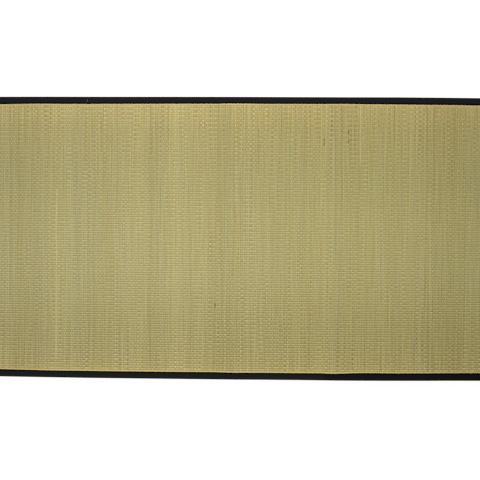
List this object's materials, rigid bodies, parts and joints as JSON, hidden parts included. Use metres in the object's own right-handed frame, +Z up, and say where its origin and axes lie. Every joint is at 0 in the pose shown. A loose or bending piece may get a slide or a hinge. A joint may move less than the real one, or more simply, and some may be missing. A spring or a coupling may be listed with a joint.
{
  "type": "tatami floor mat",
  "caption": "Flat, firm floor mat: a ribbed woven rush cover over its board, with a dark cloth binding folded round each long side.",
  "frame": {"origin": "middle of the underside, on the floor", "axes": "+X along the length, with the woven rows; +Y across the width, with the rush stems; +Z up"},
  "size_m": [1.82, 0.91, 0.055],
  "materials": {
    "woven_rush": "dry woven rush, straw yellow with some green, soft sheen along the stems",
    "binding_cloth": "matt near-black cotton cloth with fine lengthwise threads"
  },
  "bodies": {
    "root": {"rush_mat": "woven_rush", "binding_back": "binding_cloth", "binding_front": "binding_cloth"}
  },
  "joints": []
}
